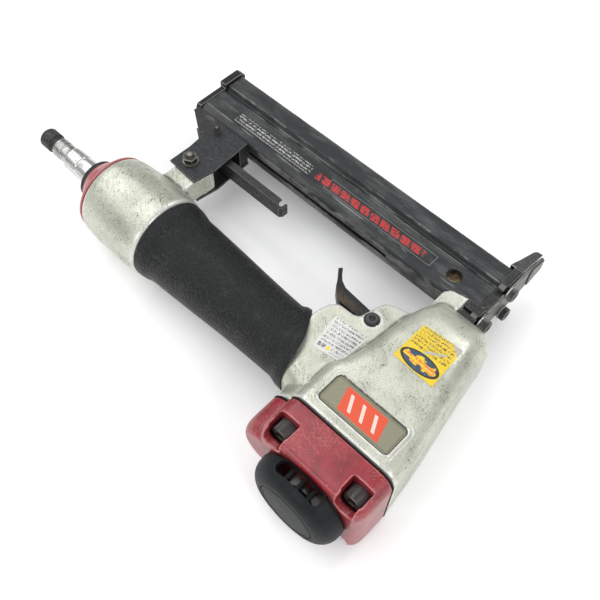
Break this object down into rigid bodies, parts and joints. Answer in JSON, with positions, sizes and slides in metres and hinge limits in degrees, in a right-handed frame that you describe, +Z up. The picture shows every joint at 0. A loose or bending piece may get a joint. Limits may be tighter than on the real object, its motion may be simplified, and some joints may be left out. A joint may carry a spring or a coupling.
{
  "type": "flooring nailer",
  "caption": "Air-powered flooring stapler lying on its side, with a cast head and red cap, rubber grip, latch bracket, long black magazine, raised foot and turning exhaust cover.",
  "frame": {"origin": "middle of the bounding box seen from above, at the level the tool lies on", "axes": "+X from the air plug to the nose, +Y from the head cap to the foot, +Z up out of the side the tool lies on"},
  "size_m": [0.3048, 0.205, 0.0571],
  "materials": {
    "cast": "tumbled die casting, scratched",
    "rubber": "pebbled grip rubber",
    "red": "worn red paint",
    "black_rubber": "smooth ring",
    "chrome": "scuffed chrome",
    "dark_steel": "blackened steel",
    "black_steel": "worn black coating",
    "bare_steel": "ground steel, worn",
    "grey_steel": "grey phosphated steel",
    "plastic_black": "moulded plastic, faintly grained",
    "plastic_white": "moulded valve plastic",
    "bumper": "firm bumper rubber",
    "brass": "turned brass",
    "staples": "coated wire, aged",
    "zinc": "zinc-plated steel, oily",
    "plate": "pale olive plate with an orange block",
    "sticker_yellow": "printed film, scuffed",
    "sticker_white": "printed film, scuffed",
    "sticker_dark": "printed film on the black band"
  },
  "bodies": {
    "tool": {"body_casting": "cast", "grip_sleeve": "rubber", "end_cap": "red", "inlet_ring": "black_rubber", "plug_adapter": "chrome", "air_plug": "dark_steel", "cylinder_liner": "bare_steel", "bumper": "bumper", "cap_gasket": "black_rubber", "top_cap": "red", "cap_screw_1": "dark_steel", "cap_screw_2": "dark_steel", "cap_screw_3": "dark_steel", "cap_screw_4": "dark_steel", "deflector_screw": "grey_steel", "trigger_pin": "dark_steel", "valve_housing": "brass", "guide_rail": "grey_steel", "staple_strip": "staples", "nose_base": "dark_steel", "contact_foot": "black_steel", "front_plate": "bare_steel", "tip_guard": "bare_steel", "nose_screw_1": "dark_steel", "nose_washer_1": "bare_steel", "nose_screw_2": "dark_steel", "nose_washer_2": "bare_steel", "nose_screw_3": "dark_steel", "nose_washer_3": "bare_steel", "nose_screw_4": "dark_steel", "nose_washer_4": "bare_steel", "bracket_near": "black_steel", "bracket_far": "black_steel", "bracket_spacer": "dark_steel", "latch_pin": "grey_steel", "lug_bolt": "zinc", "lug_washer": "zinc", "lug_nut": "zinc", "name_plate": "plate", "head_label": "sticker_yellow", "housing_label": "sticker_white"},
    "driver": {"piston": "bare_steel", "piston_ring": "black_rubber", "driver_blade": "bare_steel"},
    "head_valve": {"head_valve": "plastic_white", "head_valve_spring": "bare_steel"},
    "exhaust": {"exhaust_deflector": "plastic_black", "deflector_disc": "plastic_black"},
    "trigger": {"trigger": "black_steel"},
    "valve_stem": {"valve_stem": "bare_steel"},
    "magazine": {"magazine_upper": "black_steel", "magazine_lower": "black_steel", "magazine_end_plate": "black_steel", "magazine_label": "sticker_dark", "pusher_spring": "bare_steel"},
    "pusher": {"pusher": "bare_steel"},
    "latch": {"latch_lever": "grey_steel"}
  },
  "joints": [
    {"name": "driver_stroke", "type": "slide", "parent": "tool", "child": "driver", "axis": [0, 1, 0], "range_m": [0, 0.05]},
    {"name": "head_valve_lift", "type": "slide", "parent": "tool", "child": "head_valve", "axis": [0, -1, 0], "range_m": [0, 0.003], "stiffness_N_per_m": 800, "deforming": ["head_valve_spring"]},
    {"name": "exhaust_turn", "type": "hinge", "parent": "tool", "child": "exhaust", "pos_m": [0.1199, -0.0925, 0.0285], "axis": [0, 1, 0], "continuous": true},
    {"name": "trigger_pull", "type": "hinge", "parent": "tool", "child": "trigger", "pos_m": [0.0849, -0.002, 0.0285], "axis": [0, 0, 1], "range_deg": [0, 12], "stiffness_Nm_per_rad": 0.5},
    {"name": "valve_press", "type": "slide", "parent": "tool", "child": "valve_stem", "axis": [0, -1, 0], "range_m": [0, 0.0025]},
    {"name": "magazine_slide", "type": "slide", "parent": "tool", "child": "magazine", "axis": [-1, 0, 0], "range_m": [0, 0.1]},
    {"name": "pusher_feed", "type": "slide", "parent": "magazine", "child": "pusher", "axis": [-1, 0, 0], "range_m": [0, 0.04], "stiffness_N_per_m": 60, "deforming": ["pusher_spring"]},
    {"name": "latch_press", "type": "hinge", "parent": "tool", "child": "latch", "pos_m": [-0.0724, 0.0347, 0.0285], "axis": [0, 0, 1], "range_deg": [0, 10], "stiffness_Nm_per_rad": 0.8}
  ],
  "couplings": [
    {"joint": "valve_press", "follows": "trigger_pull", "m_per_rad": 0.01146}
  ]
}
